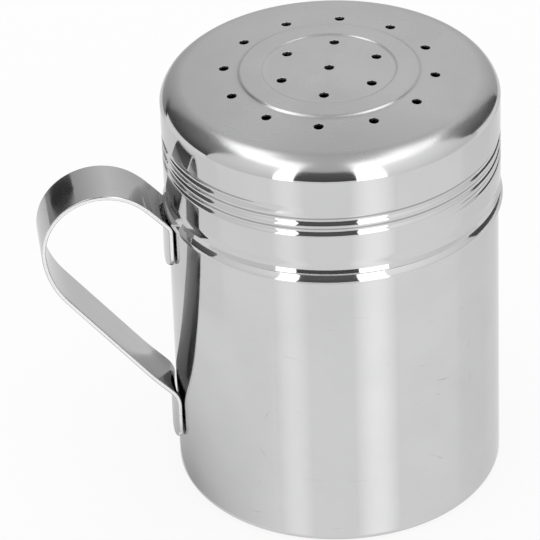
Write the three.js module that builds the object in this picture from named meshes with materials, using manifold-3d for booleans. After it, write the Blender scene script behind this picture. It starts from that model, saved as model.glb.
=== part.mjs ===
// Stainless steel spice shaker: a drawn cup with a rolled neck thread, a perforated
// screw lid with a rolled edge, and a strap handle spot-welded to the cup.
// Millimetres, +Z up. The origin is the centre of the flat base, and the handle
// reaches out along -X.

import * as THREE from 'three';
import { mergeVertices } from 'three/addons/utils/BufferGeometryUtils.js';
import Module from 'manifold-3d';

const wasm = await Module();
wasm.setup();

// Whole object
const total_height = 95.45;
const sheet = 0.5;
const running_gap = 0.3;
const cut_overrun = 1.5;
const segments_round = 44;

// Lid, down to the bottom of the flare under its skirt
const lid_height = 27.95;
const skirt_radius = 35;
const dome_radius = 244;
const shoulder_radius = 5.75;
const crease_lean = THREE.MathUtils.degToRad(15);
const flare_height = 1.2;
const flare_reach = 0.4;

// Raised ring pressed into the top, between the two rings of holes
const ring_radius_share = 0.463;
const ring_top_width = 4;
const ring_flank = 0.8;
const ring_rise = 0.4;

// Sprinkle holes
const hole_radius = 1;
const hole_rings = [
  { radius_share: 0, count: 1 },
  { radius_share: 0.3043, count: 6 },
  { radius_share: 0.6214, count: 12 },
];
const hole_turn = THREE.MathUtils.degToRad(16);
const hole_sides = 12;

// Rolled thread, right-handed, pressed inward in the lid and the neck alike
const thread_pitch = 2.4;
const thread_depth = 0.5;
const thread_turns = 2.9;
const thread_above_flare = 8.1;
const thread_start_angle = THREE.MathUtils.degToRad(-67.5);
const thread_fade_turns_share = 0.09;
const neck_lead_turns_share = 0.25;
const rows_per_pitch = 5;

// Rolled edge under the skirt
const edge_height = 1.75;
const edge_reach = 0.65;
const edge_top_reach_share = 0.3;
const edge_corner_share = 0.42;

// Cup
const base_edge_radius = 2.2;
const neck_blend_height = 1.6;
const mouth_edge_share = 0.3;

// Handle strap. The shares are of the handle's height, from the tip of the lower
// flange to the bend above the upper one.
const strap_width = 12.6;
const strap_thickness = 0.9;
const strap_edge_bevel = 0.12;
const strap_tip_share = 0.254;
const strap_easing = 5;
const handle_foot_height = 9.8;
const handle_below_edge = 2.35;
const flange_length_share = 0.1839;
const upper_bend_radius_share = 0.0375;
const upper_bend_angle = THREE.MathUtils.degToRad(38.5);
const upper_run_share = 0.0976;
const arch_radius_share = 0.2349;
const arch_angle = THREE.MathUtils.degToRad(146.1);
const palm_radius_share = 0.382;
const palm_angle = THREE.MathUtils.degToRad(34.1);
const lower_bend_radius_share = 0.1032;
const bend_step = THREE.MathUtils.degToRad(7.5);

// Spot welds
const weld_radius = 1.5;
const weld_skin_gap = 0.05;
const weld_place_shares = [0.36, 0.76];
const weld_sides = 16;

// Heights and radii that follow from these
const skirt_bottom_height = total_height - lid_height;
const thread_start_height = skirt_bottom_height + thread_above_flare;
const thread_top_height = thread_start_height + thread_pitch * thread_turns;
const edge_top_height = skirt_bottom_height - running_gap;
const edge_bottom_height = edge_top_height - edge_height;
const cup_radius = skirt_radius - sheet;
const thread_radius = cup_radius - running_gap;
const upper_bend_height = edge_bottom_height - handle_below_edge;
const handle_height = upper_bend_height - handle_foot_height;
const flange_length = handle_height * flange_length_share;

// Mesh and solid helpers

// A closed geometry with shared vertices and no triangle that has lost an edge.
function closed(geometry) {
  const bare = geometry.clone();
  bare.deleteAttribute('normal');
  bare.deleteAttribute('uv');
  const merged = mergeVertices(bare);
  const index = merged.index.array;
  const kept = [];
  for (let i = 0; i < index.length; i += 3) {
    const [a, b, c] = [index[i], index[i + 1], index[i + 2]];
    if (a !== b && b !== c && c !== a) kept.push(a, b, c);
  }
  merged.setIndex(kept);
  return merged;
}

function toSolid(geometry) {
  const merged = closed(geometry);
  return new wasm.Manifold(new wasm.Mesh({
    numProp: 3,
    vertProperties: new Float32Array(merged.attributes.position.array),
    triVerts: new Uint32Array(merged.index.array),
  }));
}

function toGeometry(solid) {
  const mesh = solid.getMesh();
  const geometry = new THREE.BufferGeometry();
  geometry.setAttribute('position', new THREE.BufferAttribute(mesh.vertProperties, 3));
  geometry.setIndex(new THREE.BufferAttribute(mesh.triVerts, 1));
  geometry.computeVertexNormals();
  return geometry;
}

// Turns a profile of (radius, height) points about the Z axis. The profile runs
// up along the outside of the solid.
function revolve(profile) {
  const geometry = new THREE.LatheGeometry(profile, segments_round);
  geometry.rotateX(Math.PI / 2);
  return geometry;
}

function arcPoints(centre, radius, from, to, steps) {
  const points = [];
  for (let i = 0; i <= steps; i++) {
    const angle = from + (to - from) * i / steps;
    points.push(new THREE.Vector2(
      centre.x + radius * Math.cos(angle),
      centre.y + radius * Math.sin(angle),
    ));
  }
  return points;
}

// Rolled thread

// How deep the groove is at a place on the wall, from 0 to 1. The groove follows a
// helix, and its section is one smooth wave. The fade says how much of it there is
// at so many turns from its start.
function grooveShare(angle, height, fade) {
  const lift = (height - thread_start_height) / thread_pitch;
  const phase = lift - (angle - thread_start_angle) / (2 * Math.PI);
  const turn = Math.round(phase);
  const along = (angle - thread_start_angle) / (2 * Math.PI) + turn;
  const wave = (1 + Math.cos(2 * Math.PI * (phase - turn))) / 2;
  return wave * fade(along);
}

// Presses a share of the thread depth inward, wherever the wall has one.
function pressThread(geometry, shareAt) {
  const position = geometry.attributes.position;
  for (let i = 0; i < position.count; i++) {
    const x = position.getX(i);
    const y = position.getY(i);
    const radius = Math.hypot(x, y);
    if (radius < thread_radius - 2 * sheet) continue;
    const share = shareAt(Math.atan2(y, x), position.getZ(i));
    const scale = (radius - thread_depth * share) / radius;
    position.setXY(i, x * scale, y * scale);
  }
  return geometry;
}

// Heights of the rows of points that carry the thread, from bottom to top.
function threadRows(from, to) {
  const count = Math.ceil((to - from) / (thread_pitch / rows_per_pitch));
  return Array.from({ length: count + 1 }, (_, i) => from + (to - from) * i / count);
}

// Lid

// Angle, seen from the dome's centre, at which the dome runs into the shoulder.
const shoulder_centre_radius = skirt_radius - shoulder_radius * Math.cos(crease_lean);
const dome_angle = Math.asin(shoulder_centre_radius / (dome_radius - shoulder_radius));
const dome_centre_height = total_height - dome_radius;
const shoulder_centre = new THREE.Vector2(
  shoulder_centre_radius,
  dome_centre_height + (dome_radius - shoulder_radius) * Math.cos(dome_angle),
);

// One side of the top: the dome with its raised ring, then the shoulder. It runs
// outward from the axis, set in by the given depth.
function topSide(depth) {
  const half = ring_top_width / 2;
  const ring_radius = skirt_radius * ring_radius_share;
  const shape = [
    { radius: 0, rise: 0 },
    { radius: ring_radius / 2, rise: 0 },
    { radius: ring_radius - half - ring_flank, rise: 0 },
    { radius: ring_radius - half - ring_flank / 2, rise: ring_rise / 2 },
    { radius: ring_radius - half, rise: ring_rise },
    { radius: ring_radius + half, rise: ring_rise },
    { radius: ring_radius + half + ring_flank / 2, rise: ring_rise / 2 },
    { radius: ring_radius + half + ring_flank, rise: 0 },
  ];
  const radius = dome_radius - depth;
  const dome = shape.map((at) => new THREE.Vector2(
    at.radius,
    dome_centre_height + Math.sqrt(radius ** 2 - at.radius ** 2) + at.rise,
  ));
  const shoulder = arcPoints(
    shoulder_centre, shoulder_radius - depth, Math.PI / 2 - dome_angle, crease_lean, 6,
  );
  return [...dome, ...shoulder];
}

// One side of the skirt, from the thread down to the flare at its bottom.
function skirtSide(radius) {
  const flare = [[0.75, 1 / 6], [0.3, 1], [0, 1]].map(([height_share, reach_share]) =>
    new THREE.Vector2(
      radius + flare_reach * reach_share,
      skirt_bottom_height + flare_height * height_share,
    ));
  const band = threadRows(
    thread_start_height - thread_pitch / 2, thread_top_height + thread_pitch / 2,
  );
  const straight = [...band.reverse(), skirt_bottom_height + flare_height];
  return [
    ...straight.map((height) => new THREE.Vector2(radius, height)),
    ...flare,
  ];
}

function sprinkleHoles() {
  const holes = [];
  const length = dome_radius - dome_radius * Math.cos(dome_angle) + sheet + 2 * cut_overrun;
  for (const ring of hole_rings) {
    const reach = skirt_radius * ring.radius_share;
    for (let i = 0; i < ring.count; i++) {
      const angle = hole_turn + 2 * Math.PI * i / ring.count;
      const hole = new THREE.CylinderGeometry(hole_radius, hole_radius, length, hole_sides);
      hole.rotateX(Math.PI / 2);
      hole.translate(
        reach * Math.cos(angle),
        reach * Math.sin(angle),
        total_height + cut_overrun - length / 2,
      );
      holes.push(hole);
    }
  }
  return holes;
}

function lid() {
  const inside = [...topSide(sheet), ...skirtSide(skirt_radius - sheet)];
  const outside = [...topSide(0), ...skirtSide(skirt_radius)].reverse();
  const fade = (along) =>
    THREE.MathUtils.smoothstep(along, 0, thread_fade_turns_share)
    * (1 - THREE.MathUtils.smoothstep(
      along, thread_turns - thread_fade_turns_share, thread_turns,
    ));
  const shell = pressThread(
    revolve([...inside, ...outside]),
    (angle, height) => grooveShare(angle, height, fade),
  );
  let solid = toSolid(shell);
  for (const hole of sprinkleHoles()) {
    solid = solid.subtract(toSolid(hole));
  }
  return toGeometry(solid);
}

// The sheet's end, rolled into a bead below the flare. It is wider at its foot.
function rolledEdge() {
  const inner = cup_radius + running_gap;
  const outer = skirt_radius + edge_reach;
  const outer_top = skirt_radius + edge_reach * edge_top_reach_share;
  const round = (outer_top - inner) * edge_corner_share;
  const corner = (x, y, quarter) => arcPoints(
    new THREE.Vector2(x, y), round, quarter * Math.PI / 2, (quarter + 1) * Math.PI / 2, 2,
  );
  const profile = [
    ...corner(inner + round, edge_bottom_height + round, 2),
    ...corner(outer - round, edge_bottom_height + round, 3),
    ...corner(outer_top - round, edge_top_height - round, 0),
    ...corner(inner + round, edge_top_height - round, 1),
  ];
  return revolve([...profile, profile[0].clone()]);
}

// Cup

// The mouth's rim stops just short of the inside of the lid's shoulder.
const neck_radius = thread_radius - thread_depth;
const mouth_reach = shoulder_radius - sheet - running_gap;
const mouth_height = shoulder_centre.y
  + Math.sqrt(mouth_reach ** 2 - (neck_radius - shoulder_centre.x) ** 2);

// One side of the cup's wall, upward from the bend at its base. The neck that
// carries the thread is a little narrower than the body.
function wallSide(inset) {
  const bend = arcPoints(
    new THREE.Vector2(cup_radius - base_edge_radius, base_edge_radius),
    base_edge_radius - inset, -Math.PI / 2, 0, 4,
  );
  const band = threadRows(
    thread_start_height - thread_pitch * (1 + neck_lead_turns_share) / 2,
    thread_top_height + neck_blend_height / 2,
  );
  const mouth = [mouth_height - sheet * mouth_edge_share];
  const neck = [edge_top_height + flare_height, ...band, ...mouth];
  return [
    ...bend,
    new THREE.Vector2(cup_radius - inset, edge_top_height),
    ...neck.map((height) => new THREE.Vector2(thread_radius - inset, height)),
  ];
}

function cup() {
  const rim = sheet * mouth_edge_share;
  const profile = [
    new THREE.Vector2(0, 0),
    ...wallSide(0),
    new THREE.Vector2(thread_radius - rim, mouth_height),
    new THREE.Vector2(thread_radius - sheet + rim, mouth_height),
    ...wallSide(sheet).reverse(),
    new THREE.Vector2(0, sheet),
  ];
  const fade = (along) => THREE.MathUtils.smoothstep(along, -neck_lead_turns_share, 0);
  const neck_top = thread_top_height + neck_blend_height / 2;
  const neck = (height) =>
    THREE.MathUtils.smoothstep(height, neck_top - neck_blend_height, neck_top);
  return closed(pressThread(
    revolve(profile),
    (angle, height) => Math.max(grooveShare(angle, height, fade), neck(height)),
  ));
}

// Handle

// Follows a bent strip, given as straight lengths and bends, and returns the points
// of the line that lies the given offset to the left of its middle. A bend with a
// positive angle turns left.
function bentLine(start, heading, moves, offset) {
  const at = start.clone();
  const points = [];
  let angle = heading;
  const side = () => new THREE.Vector2(-Math.sin(angle), Math.cos(angle));
  const mark = () => points.push(at.clone().addScaledVector(side(), offset));
  mark();
  for (const move of moves) {
    if (move.length) {
      at.add(new THREE.Vector2(Math.cos(angle), Math.sin(angle)).multiplyScalar(move.length));
      mark();
      continue;
    }
    const steps = Math.ceil(Math.abs(move.turn) / bend_step);
    const reach = move.radius * Math.sign(move.turn);
    const centre = at.clone().addScaledVector(side(), reach);
    for (let i = 0; i < steps; i++) {
      angle += move.turn / steps;
      at.copy(centre).addScaledVector(side(), -reach);
      mark();
    }
  }
  return points;
}

// The strap's middle line stands this far from the axis along both flanges.
const flange_radius = cup_radius + running_gap + strap_thickness / 2;
const lower_bend_angle = upper_bend_angle + arch_angle + palm_angle - Math.PI;

// A straight length in three equal steps.
function thirds(length) {
  return [1, 2, 3].map(() => ({ length: length / 3 }));
}

// The strap from the tip of its upper flange, over the arch and down to the tip of
// its lower flange. The lower run is as long as it takes to come back to the wall.
function strapMoves() {
  const before = [
    { length: flange_length },
    { radius: handle_height * upper_bend_radius_share, turn: -upper_bend_angle },
    ...thirds(handle_height * upper_run_share),
    { radius: handle_height * arch_radius_share, turn: -arch_angle },
    { radius: handle_height * palm_radius_share, turn: -palm_angle },
  ];
  const start = new THREE.Vector2(flange_radius, upper_bend_height - flange_length);
  const reached = bentLine(start, Math.PI / 2, before, 0).pop();
  const lower_bend_radius = handle_height * lower_bend_radius_share;
  const lower_bend_reach = lower_bend_radius * (1 - Math.cos(lower_bend_angle));
  const run = (reached.x - flange_radius - lower_bend_reach) / Math.sin(lower_bend_angle);
  const easing_run = strap_easing / Math.sin(lower_bend_angle);
  const moves = [
    ...before,
    { length: run - easing_run },
    ...thirds(easing_run),
    { radius: lower_bend_radius, turn: lower_bend_angle },
    { length: flange_length },
  ];
  return { start, moves };
}

// Lays a geometry drawn as (distance from the axis, height, across) out along -X.
function towardsHandle(geometry) {
  geometry.rotateX(Math.PI / 2);
  geometry.rotateZ(Math.PI);
  return geometry;
}

// Lays the flat strap round the cup's wall along its flanges. Away from the wall it
// eases back to flat.
function followWall(geometry) {
  const position = geometry.attributes.position;
  const skin = flange_radius + strap_thickness / 2;
  for (let i = 0; i < position.count; i++) {
    const distance = -position.getX(i);
    const sag = distance - Math.sqrt(distance ** 2 - position.getY(i) ** 2);
    const flatness = THREE.MathUtils.smoothstep(distance, skin, skin + strap_easing);
    position.setX(i, sag * (1 - flatness) - distance);
  }
  return geometry;
}

// What is cut away round the tip of a flange to leave it oval.
function tipCutter(tip_height) {
  const half = strap_width / 2;
  const wide = half + cut_overrun;
  const tip_length = strap_width * strap_tip_share;
  const centre_height = tip_height + tip_length;
  const outline = new THREE.Shape();
  outline.moveTo(-wide, tip_height - cut_overrun);
  outline.lineTo(wide, tip_height - cut_overrun);
  outline.lineTo(wide, centre_height);
  outline.lineTo(half, centre_height);
  outline.absellipse(0, centre_height, half, tip_length, 0, -Math.PI, true);
  outline.lineTo(-wide, centre_height);
  const depth = strap_thickness + 2 * cut_overrun;
  const cutter = new THREE.ExtrudeGeometry(outline, {
    depth, bevelEnabled: false, curveSegments: 16,
  });
  cutter.translate(0, 0, -depth / 2);
  cutter.rotateY(Math.PI / 2);
  cutter.translate(flange_radius, 0, 0);
  return towardsHandle(cutter);
}

function weldHeights() {
  const { start, moves } = strapMoves();
  const lower_tip = bentLine(start, Math.PI / 2, moves, 0).pop().y;
  return {
    upper_tip: start.y,
    lower_tip,
    heights: [start.y, lower_tip].flatMap(
      (tip) => weld_place_shares.map((share) => tip + flange_length * share),
    ),
  };
}

// A disc that faces the cup's axis, centred at the given distance and height.
function radialDisc(radius, thickness, distance, height, sides) {
  const disc = new THREE.CylinderGeometry(radius, radius, thickness, sides);
  disc.rotateZ(Math.PI / 2);
  disc.translate(-distance, 0, height);
  return disc;
}

function handle() {
  const { start, moves } = strapMoves();
  const half = strap_thickness / 2 - strap_edge_bevel;
  const outline = new THREE.Shape([
    ...bentLine(start, Math.PI / 2, moves, -half),
    ...bentLine(start, Math.PI / 2, moves, half).reverse(),
  ]);
  const strap = new THREE.ExtrudeGeometry(outline, {
    depth: strap_width - 2 * strap_edge_bevel,
    bevelThickness: strap_edge_bevel,
    bevelSize: strap_edge_bevel,
    bevelSegments: 1,
    steps: 4,
  });
  strap.translate(0, 0, strap_edge_bevel - strap_width / 2);
  let solid = toSolid(followWall(towardsHandle(strap)));
  const { upper_tip, lower_tip } = weldHeights();
  for (const tip of [upper_tip, lower_tip]) {
    solid = solid.subtract(toSolid(tipCutter(tip)));
  }
  return toGeometry(solid);
}

// The fused button of one spot weld, between the cup's wall and the flange.
function weld(height) {
  const thickness = running_gap - 2 * weld_skin_gap;
  return closed(radialDisc(
    weld_radius, thickness, cup_radius + running_gap / 2, height, weld_sides,
  ));
}

// Assembly

function steel(color, roughness) {
  return new THREE.MeshStandardMaterial({ color, roughness, metalness: 1 });
}

function part(name, geometry, material) {
  const mesh = new THREE.Mesh(geometry, material);
  mesh.name = name;
  return mesh;
}

const cupGroup = new THREE.Group();
cupGroup.add(part('cup', cup(), steel(0xc6c7c9, 0.1)));
cupGroup.add(part('handle', handle(), steel(0xc9cacc, 0.14)));
const weld_names = ['weld_upper_low', 'weld_upper_high', 'weld_lower_low', 'weld_lower_high'];
weldHeights().heights.forEach((height, i) => {
  cupGroup.add(part(weld_names[i], weld(height), steel(0x9a9a9c, 0.5)));
});

const lidGroup = new THREE.Group();
lidGroup.add(part('lid', lid(), steel(0xb4b5b7, 0.22)));
lidGroup.add(part('lid_rolled_edge', rolledEdge(), steel(0xc6c7c9, 0.12)));

const shaker = new THREE.Group();
shaker.add(cupGroup, lidGroup);

export default shaker;
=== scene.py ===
# %% [markdown]
# # A steel spice shaker
# The real object is a drawn steel cup with a strap handle and a lid that screws on.
# It is all thin sheet, pressed, rolled and polished. Polished steel shows its
# surroundings more than its own colour, so the forms have to be smooth and true, and
# the studio round the object is part of its look. The CAD model's parts and joints
# come in first, as a fixed frame that every piece is built on.

# %% Load the fixed frame
import math
import bmesh
import bpy
from mathutils import Matrix, Vector


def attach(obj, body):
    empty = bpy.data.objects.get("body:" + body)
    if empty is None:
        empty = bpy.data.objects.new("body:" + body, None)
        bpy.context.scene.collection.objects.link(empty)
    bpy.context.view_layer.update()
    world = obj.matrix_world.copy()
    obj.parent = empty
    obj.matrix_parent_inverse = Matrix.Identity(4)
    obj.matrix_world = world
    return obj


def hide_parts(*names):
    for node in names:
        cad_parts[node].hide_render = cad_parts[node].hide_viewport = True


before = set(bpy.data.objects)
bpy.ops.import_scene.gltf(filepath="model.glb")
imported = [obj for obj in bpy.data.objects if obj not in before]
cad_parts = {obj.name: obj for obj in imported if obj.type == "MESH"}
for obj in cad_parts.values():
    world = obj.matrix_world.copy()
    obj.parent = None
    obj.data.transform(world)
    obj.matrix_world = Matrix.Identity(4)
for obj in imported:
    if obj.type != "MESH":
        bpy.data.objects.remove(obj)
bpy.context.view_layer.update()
mm = 0.001

# %% [markdown]
# ## The camera
# The picture is a packshot, taken from far away with a long lens, so lines that run
# back hardly draw together. The camera could be aimed at a target, but then its roll
# would be hard to set. So it turns about the vertical first, then tips down, and last
# rolls a little about its own view.

# %% Camera
camera_place = Vector((-99.18, -750.09, 539.2)) * mm
camera_turn = math.radians(-6.5)
camera_tip = math.radians(33.07)
camera_roll = math.radians(-2.15)
lens_length = 285.85

camera_data = bpy.data.cameras.new("packshot_camera")
camera_data.lens = lens_length
camera = bpy.data.objects.new("packshot_camera", camera_data)
camera.matrix_world = (
    Matrix.Translation(camera_place)
    @ Matrix.Rotation(camera_turn, 4, "Z")
    @ Matrix.Rotation(math.radians(90) - camera_tip, 4, "X")
    @ Matrix.Rotation(camera_roll, 4, "Z")
)
bpy.context.scene.collection.objects.link(camera)
bpy.context.scene.camera = camera
bpy.context.scene.view_settings.view_transform = "Standard"
print("camera distance in mm:", round(camera_place.length / mm))

# %% [markdown]
# ## Node helpers
# A material is a small graph of nodes. It could be drawn by hand in the shader editor,
# but typed out it can be read, compared and changed. One helper makes a node, sets what
# is typed and links what comes from another node, so that each material below reads as
# a list of its steps.

# %% Node helper
def add_node(tree, kind, inputs=None, **settings):
    """Adds a shader node. An input is a plain value, or the output of another node."""
    node = tree.nodes.new("ShaderNode" + kind)
    for key, value in settings.items():
        setattr(node, key, value)
    for key, value in (inputs or {}).items():
        if isinstance(value, bpy.types.NodeSocket):
            tree.links.new(value, node.inputs[key])
        else:
            node.inputs[key].default_value = value
    return node


def new_material(name):
    """A material with an empty graph, and that graph."""
    material = bpy.data.materials.new(name)
    material.use_nodes = True
    material.node_tree.nodes.clear()
    return material, material.node_tree


print("materials before any is made:", len(bpy.data.materials))

# %% [markdown]
# ## The studio
# A polished thing is photographed inside a white tent, on pale board. The floor here is
# that board, and the world is the tent's even light. The board glows only for the lens
# and for reflections, which keeps the page white without more light on the object. It
# also shines a little when it is seen at a low angle, as real board does, and that
# shine is left to reflections, so the page round the object stays plain.

# %% Floor and world
floor_half = 3.0
paper_white = (0.92, 0.92, 0.92, 1)
plain_white = (1, 1, 1, 1)
page_share = 0.85
board_gloss = 0.2
board_ior = 1.5


def sees_background(tree):
    """1 for rays from the lens or off a polished or clear surface, 0 for others."""
    path = add_node(tree, "LightPath")
    first = add_node(tree, "Math", {0: path.outputs["Is Camera Ray"],
                                    1: path.outputs["Is Glossy Ray"]}, operation="MAXIMUM")
    return add_node(tree, "Math", {0: first.outputs[0],
                                   1: path.outputs["Is Transmission Ray"]}, operation="MAXIMUM")


bm = bmesh.new()
bmesh.ops.create_grid(bm, x_segments=1, y_segments=1, size=floor_half)
floor_mesh = bpy.data.meshes.new("studio_floor")
bm.to_mesh(floor_mesh)
bm.free()
floor = bpy.data.objects.new("studio_floor", floor_mesh)
bpy.context.scene.collection.objects.link(floor)

floor_white, tree = new_material("floor_white")
paper = add_node(tree, "BsdfDiffuse", {"Color": paper_white})
glow = add_node(tree, "Emission", {"Color": plain_white, "Strength": 1.0})
seen = sees_background(tree)
share = add_node(tree, "Math", {0: seen.outputs[0], 1: page_share}, operation="MULTIPLY")
white = add_node(tree, "MixShader", {0: share.outputs[0], 1: paper.outputs[0],
                                     2: glow.outputs[0]})
shine = add_node(tree, "BsdfGlossy", {"Color": plain_white, "Roughness": board_gloss})
only_reflected = add_node(tree, "LightPath").outputs["Is Glossy Ray"]
shine_share = add_node(tree, "Fresnel", {"IOR": board_ior})
mirrored = add_node(tree, "Math", {0: only_reflected, 1: shine_share.outputs[0]},
                    operation="MULTIPLY")
mixed = add_node(tree, "MixShader", {0: mirrored.outputs[0], 1: white.outputs[0],
                                     2: shine.outputs[0]})
add_node(tree, "OutputMaterial", {"Surface": mixed.outputs[0]})
floor_mesh.materials.append(floor_white)

world = bpy.data.worlds.new("studio_air")
bpy.context.scene.world = world
world.use_nodes = True
world.node_tree.nodes["Background"].inputs["Color"].default_value = plain_white
world.node_tree.nodes["Background"].inputs["Strength"].default_value = 1.0
print("floor is", 2 * floor_half, "m wide, with nodes:", len(tree.nodes))

# %% [markdown]
# ## Glowing sheets
# In a studio, white and dark cards stand round the object, and what they look like
# decides how the steel looks. A card here is a sheet with a glow painted on its
# vertices, so one material serves them all and a card can fade from side to side. Lamps
# could do it too, but they would also light the object and its shadow. The camera, the
# shadow and the even light do not see a sheet: it is only there for reflections.

# %% A sheet for reflections
card_glow, tree = new_material("card_glow")
painted = add_node(tree, "Attribute", attribute_name="glow")
glow = add_node(tree, "Emission", {"Color": painted.outputs["Color"], "Strength": 1.0})
add_node(tree, "OutputMaterial", {"Surface": glow.outputs[0]})

lens_angle = math.atan2(camera_place.y, camera_place.x)


def direction(side, rise=0):
    """The way to an angle beside the lens and an angle above the horizon, in degrees."""
    side, rise = lens_angle + math.radians(side), math.radians(rise)
    return Vector((math.cos(rise) * math.cos(side), math.cos(rise) * math.sin(side),
                   math.sin(rise)))


def glow_sheet(name, columns, rows, place_and_light):
    """A grid whose points get their place and their light from a function of u and v."""
    bm = bmesh.new()
    bmesh.ops.create_grid(bm, x_segments=columns, y_segments=rows, size=0.5)
    layer = bm.verts.layers.float_color.new("glow")
    for vert in bm.verts:
        vert.co, light = place_and_light(vert.co.x + 0.5, vert.co.y + 0.5)
        vert[layer] = (light, light, light, 1)
    mesh = bpy.data.meshes.new(name)
    bm.to_mesh(mesh)
    bm.free()
    mesh.materials.append(card_glow)
    card = bpy.data.objects.new(name, mesh)
    bpy.context.scene.collection.objects.link(card)
    card.visible_camera = False
    card.visible_diffuse = False
    card.visible_shadow = False


print("the lens looks from", round(math.degrees(lens_angle), 1), "degrees")

# %% [markdown]
# ## Studio cards
# Two tall white softboxes stand beside the lens, with a dark gap where the camera looks
# in. Two dark openings are at the sides, and a grey back and a grey roof close the room.
# Each card is a patch of a big sphere round the lid. Its corners are given as an angle to
# the side of the lens and an angle above the horizon, which is how a reflection sees
# it, and its glow is given at the four corners. The near cards stand so close that
# each part of the shaker sees them in a place of its own, as it does in a small tent.

# %% Cards round the shaker
far, near = 1.5, 0.42
lid_middle = Vector((0, 0, 90 * mm))
soft_white, high_white = 2.4, 2.0


def studio_card(name, distance, corners, glows):
    """Corners and glows run bottom left, bottom right, top right, top left."""
    def place_and_light(u, v):
        weights = ((1 - u) * (1 - v), u * (1 - v), u * v, (1 - u) * v)
        side = sum(w * corner[0] for w, corner in zip(weights, corners))
        rise = sum(w * corner[1] for w, corner in zip(weights, corners))
        light = sum(w * value for w, value in zip(weights, glows))
        return lid_middle + distance * direction(side, rise), light

    glow_sheet(name, columns=16, rows=10, place_and_light=place_and_light)


cards = {
    "lens_gap": (far, ((-24, 2), (15, 2), (15, 40), (-24, 40)), (0.08, 0.08, 0.14, 0.14)),
    "above_gap": (far, ((-24, 40), (15, 40), (20, 72), (-30, 72)), (0.58,) * 4),
    "left_strip": (far, ((-37, -3), (-24, -3), (-24, 46), (-37, 46)), (soft_white,) * 4),
    "right_strip": (far, ((15, -3), (34, -3), (34, 46), (15, 46)), (soft_white,) * 4),
    "left_softbox": (far, ((-150, 53), (-24, 44), (-30, 72), (-145, 72)), (high_white,) * 4),
    "right_softbox": (far, ((15, 44), (120, 52), (130, 72), (20, 72)), (high_white,) * 4),
    "left_edge": (far, ((-46, 2), (-39, 2), (-39, 28), (-46, 28)), (0.2, 0.2, 0.7, 0.7)),
    "right_edge": (far, ((34, 0), (37, 0), (37, 28), (34, 28)), (0.4, 0.4, 0.8, 0.8)),
    "left_wall": (far, ((-86, -6), (-37, -6), (-37, 46), (-78, 46)), (0.8, 0.75, 1.2, 0.9)),
    "right_wall": (far, ((34, -6), (106, -6), (92, 50), (34, 46)), (0.95, 0.68, 1.1, 1.3)),
    "left_opening": (near, ((-131, -3), (-82, 0), (-76, 48), (-128, 54)),
                     (0.05, 0.05, 0.4, 0.2)),
    "right_opening": (near, ((98.5, 4), (137, -11), (121, 53), (96, 48)),
                      (0.06, 0.08, 0.25, 0.37)),
    "right_opening_edge": (near, ((91, 16), (98.5, 4), (96, 48), (92, 48)),
                           (0.06, 0.06, 0.37, 0.4)),
    "back_left": (near, ((-180, -12), (-131, -12), (-128, 48), (-180, 48)),
                  (0.7, 0.3, 0.4, 0.85)),
    "back_right": (near, ((137, -12), (180, -12), (180, 48), (124, 48)),
                   (0.45, 0.7, 0.85, 0.7)),
    "back_arch": (near, ((-220, 48), (-140, 48), (-136, 58), (-224, 58)), (0.42,) * 4),
    "back_roof": (far, ((125, 56), (215, 56), (215, 75), (125, 75)), (0.5,) * 4),
    "roof": (far, ((-180, 71), (180, 71), (180, 90), (-180, 90)), (0.56,) * 4),
}
for name, (distance, corners, glows) in cards.items():
    studio_card(name, distance, corners, glows)
print("studio cards:", len(cards))

# %% [markdown]
# ## Light on the floor
# The lens looks down, so the upright wall of the cup mirrors the floor in front of it and
# not the softboxes. What softboxes cast on the board shows in the wall as upright
# streaks. Each patch of light starts at the foot of the wall and runs out the way a
# reflection does, which turns twice as fast as the wall. Its light swells in the
# middle, so the streak has soft sides, and a shaded patch darkens the wall's left foot.

# %% Floor pools
pool_start = 35.5
pool_lift = 0.05
pool_length = 170
shade_length = 75
floor_light = 0.97
middle_lift = 0.01
foot_darkness, foot_falloff, foot_fade = 0.48, 2.2, 1.5


def floor_pool(name, left, right, reach, light_at):
    """A patch of light on the floor that the wall shows between two angles."""
    def place_and_light(u, v):
        angle = left + (right - left) * u
        place = pool_start * direction(angle) + v * reach * direction(2 * angle)
        return (place + Vector((0, 0, pool_lift))) * mm, light_at(u, v)

    glow_sheet(name, columns=20, rows=8, place_and_light=place_and_light)


def swelling(strength):
    return lambda u, v: floor_light + strength * math.sin(math.pi * u)


def foot_shade(u, v):
    return floor_light - foot_darkness * (1 - v) ** foot_falloff * min(1, foot_fade * (1 - u))


floor_pool("left_pool", -22, -9.5, pool_length, swelling(0.17))
floor_pool("middle_pool", -9.5, 5.5, pool_length, lambda u, v: floor_light + middle_lift)
floor_pool("right_pool", 5.5, 22, pool_length, swelling(0.3))
floor_pool("left_shade", -88, -24, shade_length, foot_shade)
print("the pools reach out to", pool_start + pool_length, "mm")

# %% [markdown]
# ## A dark leaf
# The handle's arch shows one narrow dark shape with pointed ends. It is painted shade,
# made by a dark sheet that the arch mirrors. A wide dark card would do it, but the lid
# and the cup would show that card as well. A thin leaf, bent about a point level with
# the arch, is seen by the arch and by little else.

# %% Leaf beside the handle
leaf_middle = Vector((-50.3, 105, 64.5))
leaf_radius = 73.4
leaf_width = 15
leaf_inner_share = 0.55
leaf_fullness = 0.6
leaf_start, leaf_turn = 128, 54
leaf_light = 0.04


def leaf(u, v):
    angle = math.radians(leaf_start + leaf_turn * u)
    width = leaf_width * max(math.sin(math.pi * u), 0) ** leaf_fullness
    radius = leaf_radius + width * (v - leaf_inner_share)
    way = Vector((math.cos(angle), 0, math.sin(angle)))
    return (leaf_middle + radius * way) * mm, leaf_light


# Painted shade: a dark sheet that only the arch's reflection shows.
glow_sheet("painted_shade_leaf", columns=24, rows=1, place_and_light=leaf)
print("the leaf is", round(leaf_radius * math.radians(leaf_turn)), "mm long")

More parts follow.
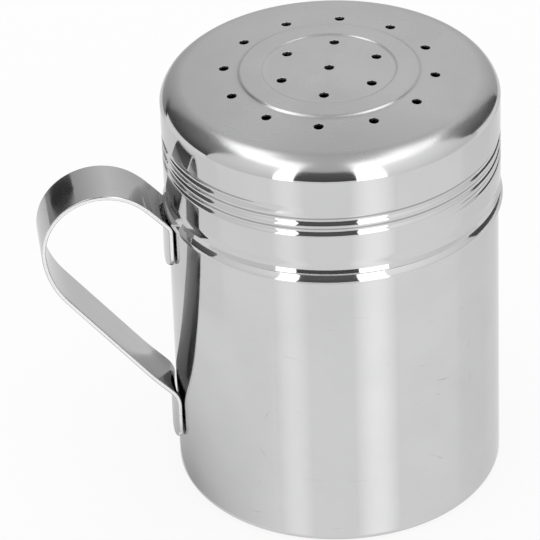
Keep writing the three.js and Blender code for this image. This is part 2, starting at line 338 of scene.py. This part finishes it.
# %% [markdown]
# ## Finishes
# Polished sheet is never perfect. The polishing wheel leaves hair-thin lines that run
# round the cup, hands leave faint smudges, and use leaves a few fine scratches. These
# effects are shared by every steel material, so each is a node group, made once.
#
# The lines come first. A painted image could hold them, but it would blur close up and
# would need unwrapping. Noise that is squeezed in one direction gives lines of any
# fineness, and a threshold keeps only the strongest.

# %% Polishing lines
line_limit, line_full = 0.75, 0.85


def new_group(name, inputs, outputs):
    """A node group with its sockets, and the nodes at its two ends."""
    tree = bpy.data.node_groups.new(name, "ShaderNodeTree")
    for socket, kind in inputs.items():
        tree.interface.new_socket(socket, in_out="INPUT", socket_type=kind)
    for socket, kind in outputs.items():
        tree.interface.new_socket(socket, in_out="OUTPUT", socket_type=kind)
    return tree, tree.nodes.new("NodeGroupInput"), tree.nodes.new("NodeGroupOutput")


lines_group, start, end = new_group(
    "polishing_lines",
    {"Vector": "NodeSocketVector", "Stretch": "NodeSocketVector", "Share": "NodeSocketFloat"},
    {"Mask": "NodeSocketFloat", "Height": "NodeSocketFloat"},
)
stretched = add_node(lines_group, "VectorMath", {0: start.outputs["Vector"],
                                                 1: start.outputs["Stretch"]}, operation="MULTIPLY")
hair = add_node(lines_group, "TexNoise", {"Vector": stretched.outputs[0], "Scale": 1.0,
                                          "Detail": 3.0, "Roughness": 0.7})
threshold = add_node(lines_group, "Math", {0: line_limit, 1: start.outputs["Share"]},
                     operation="SUBTRACT")
mask = add_node(lines_group, "MapRange", {"Value": hair.outputs["Fac"],
                                          "From Min": threshold.outputs[0], "From Max": line_full,
                                          "To Min": 0.0, "To Max": 1.0})
lines_group.links.new(mask.outputs["Result"], end.inputs["Mask"])
lines_group.links.new(hair.outputs["Fac"], end.inputs["Height"])
print("polishing lines, nodes:", len(lines_group.nodes))

# %% [markdown]
# A scratch on the real shaker is one thin curved stroke, alone or with a few others.
# Noise has a middle value, and the places that have exactly that value form long thin
# curves. A second noise keeps only short pieces of them, in a few patches.

# %% Hairline scratches
scratch_stretch = (0.2, 1.3, 1.6)
scratch_width = 0.004
scratch_strength = 2.2
patch_scale = 210.0
patch_full = 0.8

scratch_group, start, end = new_group(
    "hairline_scratches",
    {"Vector": "NodeSocketVector", "Scale": "NodeSocketFloat", "Share": "NodeSocketFloat"},
    {"Mask": "NodeSocketFloat"},
)
drawn_out = add_node(scratch_group, "VectorMath", {0: start.outputs["Vector"],
                                                   1: scratch_stretch}, operation="MULTIPLY")
paths = add_node(scratch_group, "TexNoise", {"Vector": drawn_out.outputs[0],
                                             "Scale": start.outputs["Scale"], "Detail": 0.0})
centred = add_node(scratch_group, "Math", {0: paths.outputs["Fac"], 1: 0.5}, operation="SUBTRACT")
off_path = add_node(scratch_group, "Math", {0: centred.outputs[0]}, operation="ABSOLUTE")
thin = add_node(scratch_group, "MapRange", {"Value": off_path.outputs[0], "From Min": 0.0,
                                            "From Max": scratch_width,
                                            "To Min": scratch_strength, "To Max": 0.0})
patches = add_node(scratch_group, "TexNoise", {"Vector": start.outputs["Vector"],
                                               "Scale": patch_scale, "Detail": 2.0})
edge = add_node(scratch_group, "Math", {0: patch_full, 1: start.outputs["Share"]},
                operation="SUBTRACT")
only = add_node(scratch_group, "MapRange", {"Value": patches.outputs["Fac"],
                                            "From Min": edge.outputs[0], "From Max": patch_full,
                                            "To Min": 0.0, "To Max": 1.0})
both = add_node(scratch_group, "Math", {0: thin.outputs["Result"], 1: only.outputs["Result"]},
                operation="MULTIPLY", use_clamp=True)
scratch_group.links.new(both.outputs[0], end.inputs["Mask"])
print("hairline scratches, nodes:", len(scratch_group.nodes))

# %% [markdown]
# Smudges are what fingers and a damp cloth leave: soft clouds with no edge. Noise with
# some finer detail in it is a cloud already, and its range is spread so that part of
# the steel stays clean. Its height also serves for the slow waves of thin sheet.

# %% Smudges
smudge_low, smudge_high = 0.42, 0.72

smudge_group, start, end = new_group(
    "smudges",
    {"Vector": "NodeSocketVector", "Scale": "NodeSocketFloat"},
    {"Mask": "NodeSocketFloat", "Height": "NodeSocketFloat"},
)
cloud = add_node(smudge_group, "TexNoise", {"Vector": start.outputs["Vector"],
                                            "Scale": start.outputs["Scale"], "Detail": 4.0,
                                            "Roughness": 0.55})
spread = add_node(smudge_group, "MapRange", {"Value": cloud.outputs["Fac"],
                                             "From Min": smudge_low, "From Max": smudge_high,
                                             "To Min": 0.0, "To Max": 1.0})
smudge_group.links.new(spread.outputs["Result"], end.inputs["Mask"])
smudge_group.links.new(cloud.outputs["Fac"], end.inputs["Height"])
print("smudges, nodes:", len(smudge_group.nodes))

# %% [markdown]
# ## Steel
# Cup, lid, strap and welds are one metal in different states, from mirror to dull, so
# they are one recipe with different numbers. The colour is a plain grey that a
# scratch or smudge darkens a little. The lines and smudges also widen the gloss, and
# the lens sees the lines as faint upright streaks of the softboxes. The lid's top is
# satin: above its shoulder the gloss widens and the lines fade out.

# %% Steel recipe
scratch_scale, smudge_scale = 95.0, 70.0
smudge_gloss, scratch_gloss = 0.05, 0.3
smudge_dulling = 0.1
worn_shade = 0.62
wave_strength, wave_height = 0.12, 0.2 * mm
grazing_tint = (0.85, 0.85, 0.85, 1)
brushing, brushing_turn = 0.7, 0.25
satin_blend = 2 * mm
# Just below the reach of the noise. Much lower, and the mask would turn over.
no_lines = -0.09


def steel(name, colour, gloss, line_gloss, stretch, line_share, wear=0.22, satin=None):
    """A polished steel. Gloss values are roughness, from 0 as a mirror to 1 as chalk."""
    material, tree = new_material(name)
    place = add_node(tree, "TexCoord").outputs["Object"]
    lines = add_node(tree, "Group", node_tree=lines_group)
    tree.links.new(place, lines.inputs["Vector"])
    lines.inputs["Stretch"].default_value = stretch
    lines.inputs["Share"].default_value = line_share
    scratches = add_node(tree, "Group", node_tree=scratch_group)
    tree.links.new(place, scratches.inputs["Vector"])
    scratches.inputs["Scale"].default_value = scratch_scale
    scratches.inputs["Share"].default_value = wear
    smudges = add_node(tree, "Group", node_tree=smudge_group)
    tree.links.new(place, smudges.inputs["Vector"])
    smudges.inputs["Scale"].default_value = smudge_scale

    base_gloss = gloss
    if satin:
        heights = add_node(tree, "SeparateXYZ", {0: place})
        base_gloss = add_node(tree, "MapRange", {
            "Value": heights.outputs["Z"], "From Min": satin["from"], "From Max": satin["to"],
            "To Min": gloss, "To Max": satin["gloss"],
        }, interpolation_type="SMOOTHSTEP").outputs["Result"]
        share = add_node(tree, "MapRange", {
            "Value": heights.outputs["Z"], "From Min": satin["from"] - satin_blend,
            "From Max": satin["from"], "To Min": line_share, "To Max": no_lines,
        })
        tree.links.new(share.outputs["Result"], lines.inputs["Share"])
    smudged = add_node(tree, "Math", {0: smudges.outputs["Mask"], 1: smudge_gloss,
                                      2: base_gloss}, operation="MULTIPLY_ADD")
    lined = add_node(tree, "Mix", {0: lines.outputs["Mask"], 2: smudged.outputs[0],
                                   3: line_gloss}, data_type="FLOAT")
    worn = add_node(tree, "Math", {0: scratches.outputs["Mask"], 1: scratch_gloss,
                                   2: lined.outputs[0]}, operation="MULTIPLY_ADD")

    dull = add_node(tree, "Math", {0: smudges.outputs["Mask"], 1: smudge_dulling,
                                   2: scratches.outputs["Mask"]}, operation="MULTIPLY_ADD")
    tint = add_node(tree, "Mix", {0: dull.outputs[0], 6: colour,
                                  7: tuple(worn_shade * c for c in colour[:3]) + (1,)},
                    data_type="RGBA")
    waves = add_node(tree, "Bump", {"Height": smudges.outputs["Height"],
                                    "Strength": wave_strength, "Distance": wave_height})
    shader = add_node(tree, "BsdfPrincipled", {
        "Base Color": tint.outputs[2], "Metallic": 1.0, "Roughness": worn.outputs[0],
        "Specular Tint": grazing_tint, "Anisotropic": brushing,
        "Anisotropic Rotation": brushing_turn, "Normal": waves.outputs[0],
    })
    add_node(tree, "OutputMaterial", {"Surface": shader.outputs[0]})
    print(name, "nodes:", len(tree.nodes))
    return material


cup_steel = steel("cup_steel", (0.61, 0.61, 0.615, 1), 0.05, 0.4, (60, 60, 9000), 0.2)
lid_steel = steel("lid_steel", (0.6, 0.6, 0.605, 1), 0.05, 0.4, (60, 60, 9000), 0.08, wear=0.04,
                  satin={"from": 89.5 * mm, "to": 93.2 * mm, "gloss": 0.26})
strap_steel = steel("strap_steel", (0.58, 0.58, 0.585, 1), 0.08, 0.35, (300, 9000, 300), 0.15)
sheared_steel = steel("sheared_steel", (0.85, 0.85, 0.85, 1), 0.22, 0.5, (2500, 2500, 2500), 0.3)
weld_steel = steel("weld_steel", (0.4, 0.39, 0.38, 1), 0.45, 0.6, (1500, 1500, 1500), 0.3)

# %% [markdown]
# ## Drawing a profile
# Round sheet parts are all one line turned about an axis. The line could be typed as a
# list of points, but then no arc would be exact and no size could change alone. So it
# is drawn the way a pen moves: a straight pull, or a swing about a centre. Spinning a
# single vertex is the swing, and it leaves an exact arc behind.

# %% Profile pen
class Profile:
    """A line in the upright plane through the axis, in millimetres from the axis."""

    def __init__(self, radius, height):
        self.bm = bmesh.new()
        self.tip = self.bm.verts.new((radius * mm, 0, height * mm))

    def at(self):
        return self.tip.co.x / mm, self.tip.co.z / mm

    def pull(self, radius, height, steps=1):
        """Draws straight to a place, in equal steps."""
        step = (Vector((radius * mm, 0, height * mm)) - self.tip.co) / steps
        for _ in range(steps):
            made = bmesh.ops.extrude_vert_indiv(self.bm, verts=[self.tip])
            self.tip = made["verts"][0]
            bmesh.ops.translate(self.bm, verts=[self.tip], vec=step)
        return self

    def swing(self, centre, degrees, steps):
        """Draws an arc about a centre. A positive angle turns from outward to upward."""
        made = bmesh.ops.spin(
            self.bm, geom=[self.tip], cent=(centre[0] * mm, 0, centre[1] * mm),
            axis=(0, -1, 0), angle=math.radians(degrees), steps=steps,
        )
        self.tip = [part for part in made["geom_last"] if isinstance(part, bmesh.types.BMVert)][0]
        return self

    def step_out(self, hollow, degrees, slope, crest, over, easing=0):
        """From an upright wall: a hollow, a slope that may ease, and a crest that rolls over."""
        out, up = self.at()
        self.swing((out + hollow, up), degrees, 6)
        out, up = self.at()
        lean = math.radians(degrees)
        if easing:
            bow = slope / math.radians(easing)
            self.swing((out - bow * math.cos(lean), up - bow * math.sin(lean)), -easing, 4)
            lean -= math.radians(easing)
        else:
            self.pull(out + slope * math.sin(lean), up - slope * math.cos(lean), 3)
        out, up = self.at()
        centre = (out - crest * math.cos(lean), up - crest * math.sin(lean))
        return self.swing(centre, easing - degrees - over, 10)

    def turned(self, segments):
        """The profile turned once round the axis, closed at its seam and its poles."""
        line = self.bm.verts[:] + self.bm.edges[:]
        bmesh.ops.spin(self.bm, geom=line, cent=(0, 0, 0), axis=(0, 0, 1),
                       angle=math.tau, steps=segments, use_merge=True)
        bmesh.ops.remove_doubles(self.bm, verts=self.bm.verts, dist=0.001 * mm)
        bmesh.ops.recalc_face_normals(self.bm, faces=self.bm.faces)
        return self.bm


test_arc = Profile(10, 0).swing((0, 0), 90, 8)
print("a quarter swing ends at", [round(value, 2) + 0.0 for value in test_arc.at()])
test_arc.bm.free()

# %% [markdown]
# ## Finishing a piece
# A finished mesh gets its steel, soft shading that stays sharp only where the sheet
# turns sharply, the body it moves with and the CAD nodes it stands for. Where a piece
# is cut, the boolean's result is kept as the mesh and the cutter is thrown away, so
# that nothing is worked out again later and the holes are real.

# %% Piece helpers
sharp_angle = math.radians(38)


def make_piece(name, bm, materials, body, slot, *nodes):
    """Turns a bmesh into a finished piece that stands for CAD nodes and moves with a body."""
    mesh = bpy.data.meshes.new(name)
    bm.to_mesh(mesh)
    bm.free()
    mesh.shade_smooth()
    mesh.set_sharp_from_angle(angle=sharp_angle)
    for material in materials:
        mesh.materials.append(material)
    piece = bpy.data.objects.new(name, mesh)
    bpy.context.scene.collection.objects.link(piece)
    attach(piece, body)
    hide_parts(*nodes)
    print(name, "faces:", len(mesh.polygons), "size in mm:",
          [round(side / mm, 2) for side in piece.dimensions])
    return piece


def carve(piece, cutter_bm):
    """Cuts the shape of a cutter out of a piece for good."""
    mesh = bpy.data.meshes.new("cutter")
    cutter_bm.to_mesh(mesh)
    cutter_bm.free()
    cutter = bpy.data.objects.new("cutter", mesh)
    bpy.context.scene.collection.objects.link(cutter)
    cut = piece.modifiers.new("cut", "BOOLEAN")
    cut.operation = "DIFFERENCE"
    cut.solver = "EXACT"
    cut.object = cutter
    ready = piece.evaluated_get(bpy.context.evaluated_depsgraph_get())
    carved = bpy.data.meshes.new_from_object(ready)
    piece.modifiers.clear()
    piece.data = carved
    carved.set_sharp_from_angle(angle=sharp_angle)
    bpy.data.objects.remove(cutter)


print("an edge is sharp above", round(math.degrees(sharp_angle)), "degrees")

# %% [markdown]
# ## The thread
# Lid and neck are rolled together with one right-handed groove. Seen along the wall
# its section is a smooth wave, and it runs out softly at both ends. A bump in the
# material would not show at the outline, and a modelled coil would have to be joined
# to the wall. Moving each vertex of a finely divided wall inward by the depth of the
# wave presses the groove in, as the rollers do.

# %% Rolled thread
sheet = 0.5
thread_pitch = 2.4
thread_depth = 0.5
thread_turns = 2.9
thread_start = 75.6
thread_top = thread_start + thread_pitch * thread_turns
thread_start_angle = math.radians(-67.5)
run_out = 0.09
threaded_from = 34


def smooth_step(value, low, high):
    share = min(max((value - low) / (high - low), 0), 1)
    return share * share * (3 - 2 * share)


def groove(angle, height, fade):
    """How much of the groove's depth a place on the wall has, from 0 to 1."""
    phase = (height - thread_start) / thread_pitch - (angle - thread_start_angle) / math.tau
    turn = round(phase)
    along = (angle - thread_start_angle) / math.tau + turn
    return (1 + math.cos(math.tau * (phase - turn))) / 2 * fade(along)


def press_thread(bm, share_at):
    """Moves every vertex of the outer wall inward by its share of the groove's depth."""
    for vert in bm.verts:
        radius = math.hypot(vert.co.x, vert.co.y)
        if radius < threaded_from * mm:
            continue
        share = share_at(math.atan2(vert.co.y, vert.co.x), vert.co.z / mm)
        scale = (radius - thread_depth * mm * share) / radius
        vert.co.x *= scale
        vert.co.y *= scale


print("thread from", thread_start, "to", round(thread_top, 2), "mm")

# %% [markdown]
# ## The lid
# The lid is one pressing. Its top is the cap of a very large sphere, its shoulder a
# tight curve, and a crease parts the shoulder from the upright skirt. Below the
# thread the skirt narrows a little, steps out and folds under, which stiffens its
# edge. The outside is what shows, so it is drawn first, and the sheet gets its
# thickness last.

# %% Lid outside
total_height = 95.45
skirt_radius = 35.0
dome_radius = 244.0
shoulder_radius = 5.75
crease_lean = 15.0
crease_round = 0.6
dome_centre = (0, total_height - dome_radius)
shoulder_out = skirt_radius - shoulder_radius * math.cos(math.radians(crease_lean))
dome_half_angle = math.degrees(math.asin(shoulder_out / (dome_radius - shoulder_radius)))
shoulder_up = dome_centre[1] + (dome_radius - shoulder_radius) * math.cos(
    math.radians(dome_half_angle))
edge_lean = math.degrees(math.acos(
    (skirt_radius - shoulder_out - crease_round) / (shoulder_radius - crease_round)))
taper_top = 71.2
taper_round = 5.37
taper_turn = 14
flare_foot = (34.62, 67.2)
ring_radius = skirt_radius * 0.463
ring_top_width = 4.0
ring_flank = 0.8
ring_rise = 0.32
ring_out = ring_radius + ring_top_width / 2 + ring_flank
ring_in = ring_radius - ring_top_width / 2 - ring_flank


def dome_angle(radius):
    return math.degrees(math.asin(radius / dome_radius))


lid_line = Profile(0, total_height)
lid_line.swing(dome_centre, -dome_angle(ring_in), 16)
lid_line.swing(dome_centre, dome_angle(ring_in) - dome_angle(ring_out), 40)
lid_line.swing(dome_centre, dome_angle(ring_out) - dome_half_angle, 14)
lid_line.swing((shoulder_out, shoulder_up), edge_lean + dome_half_angle - 90, 26)
crease_out, crease_up = lid_line.at()
crease_centre = (
    crease_out - crease_round * math.cos(math.radians(edge_lean)),
    crease_up - crease_round * math.sin(math.radians(edge_lean)),
)
lid_line.swing(crease_centre, -edge_lean, 4)
lid_line.pull(skirt_radius, thread_top + thread_pitch / 2, 4)
lid_line.pull(skirt_radius, thread_start - thread_pitch / 2, 58)
lid_line.pull(skirt_radius, taper_top, 2)
lid_line.swing((skirt_radius - taper_round, taper_top), -taper_turn, 6)
taper_out, taper_up = lid_line.at()
lid_line.swing((
    taper_out + taper_round * math.cos(math.radians(taper_turn)),
    taper_up - taper_round * math.sin(math.radians(taper_turn)),
), taper_turn, 6)
lid_line.step_out(hollow=0.25, degrees=20, slope=0.87, crest=0.12, over=70)
lid_line.pull(*flare_foot)
lid_bm = lid_line.turned(200)
print("flare ends at", [round(value, 2) for value in lid_line.at()])

# %% [markdown]
# The top carries one raised ring between its two rings of holes. It is pressed with
# soft flanks, so each vertex there rises by a smooth step. Then the thread is rolled in
# and the sheet gets its thickness. Solidify moves a copy of the skin inward, so the
# ring and the thread show on the inside too, as they do in real sheet.

# %% Lid relief, thread and thickness
for vert in lid_bm.verts:
    radius = math.hypot(vert.co.x, vert.co.y) / mm
    if vert.co.z > shoulder_up * mm:
        up_inside = smooth_step(radius, ring_in, ring_in + ring_flank)
        down_outside = 1 - smooth_step(radius, ring_out - ring_flank, ring_out)
        vert.co.z += ring_rise * mm * up_inside * down_outside


def lid_fade(along):
    run_in = smooth_step(along, 0, run_out)
    return run_in * (1 - smooth_step(along, thread_turns - run_out, thread_turns))


press_thread(lid_bm, lambda angle, height: groove(angle, height, lid_fade))
bmesh.ops.solidify(lid_bm, geom=lid_bm.faces[:], thickness=sheet * mm)
bmesh.ops.remove_doubles(lid_bm, verts=lid_bm.verts, dist=0.005 * mm)
lid_piece = make_piece("pressed_lid", lid_bm, [lid_steel], "lid", "lid_steel", "lid")

# %% [markdown]
# The holes are punched from above. A punch drags the sheet down a little at the
# rim, so the cutter is a small spun shape that flares where it meets the top, and
# each one stands square to the dome. All the punches go into one mesh, so the lid is
# cut once.

# %% Sprinkle holes
hole_radius = 1.0
hole_round = 0.08
hole_turn = math.radians(16)
punch_depth, punch_height = 2, 1
punch_flare, punch_brim = 78, 0.1
hole_rings = ((0, 1), (skirt_radius * 0.3043, 6), (skirt_radius * 0.6214, 12))

punches = bmesh.new()
for reach, count in hole_rings:
    punch = Profile(0, -punch_depth)
    punch.pull(hole_radius, -punch_depth)
    punch.pull(hole_radius, -hole_round)
    punch.swing((hole_radius + hole_round, -hole_round), -punch_flare, 6)
    punch.pull(punch.at()[0] + punch_brim, punch_height)
    punch.pull(0, punch_height)
    bm = punch.turned(32)
    bmesh.ops.rotate(bm, verts=bm.verts, cent=(0, 0, 0),
                     matrix=Matrix.Rotation(math.asin(reach / dome_radius), 3, "Y"))
    surface = dome_centre[1] + math.sqrt(dome_radius ** 2 - reach ** 2)
    bmesh.ops.translate(bm, verts=bm.verts, vec=(reach * mm, 0, surface * mm))
    for i in range(count):
        ring = bm.copy()
        bmesh.ops.rotate(ring, verts=ring.verts, cent=(0, 0, 0),
                         matrix=Matrix.Rotation(hole_turn + math.tau * i / count, 3, "Z"))
        mesh = bpy.data.meshes.new("punch")
        ring.to_mesh(mesh)
        punches.from_mesh(mesh)
        bpy.data.meshes.remove(mesh)
        ring.free()
    bm.free()
carve(lid_piece, punches)
print("lid faces with its holes:", len(lid_piece.data.polygons))

# %% [markdown]
# ## The rolled edge
# The sheet's raw end is rolled under into a bead, so that it does not cut. It
# carries on from the lid's flare, and its underside is round. A torus would be round on
# every side, but the real bead swells slowly at its top and turns tightly at its foot,
# so it has a profile of its own.

# %% Rolled edge
bead_inside = 34.58
bead_shoulder = 66.9
bead_foot = 65.45
bead_lip = (34.83, 65.7)

bead = Profile(bead_inside, bead_shoulder)
bead.pull(34.6, flare_foot[1])
bead.step_out(hollow=0.12, degrees=36, slope=1.04, crest=1.45, over=0, easing=5)
out, up = bead.at()
foot_round = up - bead_foot
bead.swing((out - foot_round, up), -90, 10)
bead.pull(bead_lip[0], bead_foot)
bead.swing(bead_lip, -90, 5)
bead.pull(bead_inside, bead_shoulder, 2)
print("bead is widest at", [round(out, 2), round(up, 2)])
make_piece("rolled_edge", bead.turned(200), [cup_steel], "lid_edge", "polished_steel",
           "lid_rolled_edge")

# %% [markdown]
# ## The cup
# The cup is drawn from one disc. Its base is flat with a small round edge, its wall
# is straight up to the lid, and there it narrows to a neck that carries the thread.
# Only its outside is drawn here too, because sheet has the same thickness everywhere.

# %% Cup
cup_radius = 34.5
neck_radius = 34.2
base_round = 2.2
mouth_height = 90.41
shoulder_foot, shoulder_top = 67.2, 68.4
shoulder_turn = 28.07
shoulder_round = 1.275
neck_lead = 0.25
neck_blend = 1.6

cup_line = Profile(0, 0)
cup_line.pull(cup_radius - base_round, 0, 6)
cup_line.swing((cup_radius - base_round, base_round), 90, 14)
cup_line.pull(cup_radius, shoulder_foot, 10)
cup_line.swing((cup_radius - shoulder_round, shoulder_foot), shoulder_turn, 6)
cup_line.swing((neck_radius + shoulder_round, shoulder_top), -shoulder_turn, 6)
cup_line.pull(neck_radius, thread_start - thread_pitch * (1 + neck_lead) / 2, 4)
cup_line.pull(neck_radius, thread_top + neck_blend / 2, 50)
cup_line.pull(neck_radius, mouth_height, 4)
cup_bm = cup_line.turned(192)


def cup_fade(along):
    return smooth_step(along, -neck_lead, 0)


def neck(height):
    return smooth_step(height, thread_top - neck_blend / 2, thread_top + neck_blend / 2)


press_thread(cup_bm, lambda angle, height: max(groove(angle, height, cup_fade), neck(height)))
bmesh.ops.solidify(cup_bm, geom=cup_bm.faces[:], thickness=sheet * mm)
make_piece("drawn_cup", cup_bm, [cup_steel], "cup", "polished_steel", "cup")

# %% [markdown]
# ## The handle
# The handle is one bent strip. A curve with a bevel would also bend, but it can twist
# and its flats would not be exact. So the rim of the strip's section is pulled straight
# and swung round each bend, just as the strip is bent over formers, and the run back
# to the wall is as long as it takes to meet it.

# %% Strip that grows
strap_width = 12.6
strap_thickness = 0.9
strap_rows = 12
guard_row = 0.475


class Strip:
    """A strip that grows from the rim of its section, out along -X from the cup."""

    def __init__(self, distance, height):
        self.bm = bmesh.new()
        self.place = Vector((-distance * mm, 0, height * mm))
        self.heading = math.radians(90)
        made = bmesh.ops.create_grid(self.bm, x_segments=1, y_segments=strap_rows, size=0.5)
        # The second row from each side moves out, so that the sides keep their form.
        for vert in made["verts"]:
            if 0.4 < abs(vert.co.y) < 0.45:
                vert.co.y = math.copysign(guard_row, vert.co.y)
        bmesh.ops.scale(self.bm, verts=made["verts"],
                        vec=(strap_thickness * mm, strap_width * mm, 1))
        bmesh.ops.translate(self.bm, verts=made["verts"], vec=self.place)
        bmesh.ops.delete(self.bm, geom=self.bm.faces[:], context="FACES_KEEP_BOUNDARY")
        self.rim = self.bm.edges[:]
        self.close()

    def rim_verts(self):
        return list({vert for edge in self.rim for vert in edge.verts})

    def close(self):
        bmesh.ops.edgeloop_fill(self.bm, edges=self.rim)

    def ahead(self):
        return Vector((-math.cos(self.heading), 0, math.sin(self.heading)))

    def pull(self, length, steps=1):
        for _ in range(steps):
            made = bmesh.ops.extrude_edge_only(self.bm, edges=self.rim)["geom"]
            verts = {part for part in made if isinstance(part, bmesh.types.BMVert)}
            self.rim = [part for part in made if isinstance(part, bmesh.types.BMEdge)
                        and all(vert in verts for vert in part.verts)]
            bmesh.ops.translate(self.bm, verts=list(verts),
                                vec=self.ahead() * (length / steps * mm))
        self.place += self.ahead() * (length * mm)

    def bend(self, radius, degrees):
        """A positive angle bends towards the cup, a negative one away from it."""
        steps = max(4, round(abs(degrees) / 3))
        side = math.copysign(1, degrees)
        normal = Vector((math.sin(self.heading), 0, math.cos(self.heading)))
        centre = self.place + normal * (side * radius * mm)
        made = bmesh.ops.spin(self.bm, geom=self.rim_verts() + self.rim, cent=centre,
                              axis=(0, 1, 0), angle=math.radians(degrees), steps=steps)
        self.rim = [part for part in made["geom_last"] if isinstance(part, bmesh.types.BMEdge)]
        self.heading += math.radians(degrees)
        turn = Matrix.Rotation(math.radians(degrees), 3, "Y")
        self.place = centre + turn @ (self.place - centre)


print("strap section in mm:", [strap_width, strap_thickness])

# %% [markdown]
# The strip starts at the tip of its upper flange and ends at the tip of its lower one.
# Near each tip its rows stand close together, because the tips will be cut oval. Each
# bend is a radius and an angle, read from the photograph's outline.

# %% Bend the strip
tip_length = 3.2
tip_row_count = 12
flange_length = 9.8
weld_gap = 0.3
upper_bend_height = 63.1
flange_middle = cup_radius + weld_gap + strap_thickness / 2
upper_bend, arch, palm = (2.0, 38.5), (12.52, 146.1), (20.36, 34.1)
lower_bend = (5.5, upper_bend[1] + arch[1] + palm[1] - 180)
upper_run = 5.2

tip_rows = [tip_length * (1 - math.cos(math.radians(90 * i / tip_row_count)))
            for i in range(tip_row_count + 1)]
tip_steps = [above - below for below, above in zip(tip_rows, tip_rows[1:])]
strip = Strip(flange_middle, upper_bend_height - flange_length)
for step in tip_steps:
    strip.pull(step)
strip.pull(flange_length - tip_length, 3)
strip.bend(upper_bend[0], -upper_bend[1])
strip.pull(upper_run, 5)
strip.bend(arch[0], -arch[1])
strip.bend(palm[0], -palm[1])
to_wall = -strip.place.x / mm - flange_middle
bend_reach = lower_bend[0] * (1 - math.cos(math.radians(lower_bend[1])))
strip.pull((to_wall - bend_reach) / math.sin(math.radians(lower_bend[1])), 20)
strip.bend(lower_bend[0], lower_bend[1])
strip.pull(flange_length - tip_length, 3)
for step in reversed(tip_steps):
    strip.pull(step)
strip.close()
print("strip ends at", [round(value / mm, 2) for value in strip.place])

# %% [markdown]
# The long sides and the two tips are sheared, and a sheared edge is rougher than the
# rolled faces, so it has its own steel. The tips are oval. Every edge gets a small
# round, and last the flanges are laid round the cup's wall.

# %% Handle tips and edges
easing = 5.0
edge_round = 0.2
blunt_share = 0.03
sideways = 0.7
near_enough = 0.01
rim_angle = math.radians(60)

handle_bm = strip.bm
bmesh.ops.recalc_face_normals(handle_bm, faces=handle_bm.faces)
tips = (strip.place.z / mm, upper_bend_height - flange_length)
for face in handle_bm.faces:
    at_tip = any(all(abs(vert.co.z / mm - tip) < near_enough for vert in face.verts)
                 for tip in tips)
    face.material_index = 1 if abs(face.normal.y) > sideways or at_tip else 0
for vert in handle_bm.verts:
    for tip in tips:
        up = vert.co.z / mm - tip
        on_flange = -vert.co.x / mm < flange_middle + strap_thickness
        if on_flange and -near_enough < up < tip_length:
            vert.co.y *= math.sqrt(max(1 - ((tip_length - up) / tip_length) ** 2, blunt_share))
rims = [edge for edge in handle_bm.edges
        if edge.is_manifold and edge.calc_face_angle() > rim_angle]
bmesh.ops.bevel(handle_bm, geom=rims, offset=edge_round * mm, segments=4, profile=0.5,
                affect="EDGES", material=0)
skin = flange_middle + strap_thickness / 2
for vert in handle_bm.verts:
    reach, across = -vert.co.x / mm, vert.co.y / mm
    sag = reach - math.sqrt(reach ** 2 - across ** 2)
    vert.co.x += sag * (1 - smooth_step(reach, skin, skin + easing)) * mm
print("open or crossed edges:", sum(not edge.is_manifold for edge in handle_bm.edges))
make_piece("strap_handle", handle_bm, [strap_steel, sheared_steel], "cup", "polished_steel",
           "handle")

# %% [markdown]
# ## Spot welds
# Each flange is held by two spot welds. The fused buttons behind the flanges are small
# discs of dull steel. They hardly show, so they keep their CAD mesh and only get their
# own steel.

# %% Weld buttons
for name in ("weld_upper_low", "weld_upper_high", "weld_lower_low", "weld_lower_high"):
    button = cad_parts[name]
    button.data.materials.clear()
    button.data.materials.append(weld_steel)
    print(name, "faces:", len(button.data.polygons))
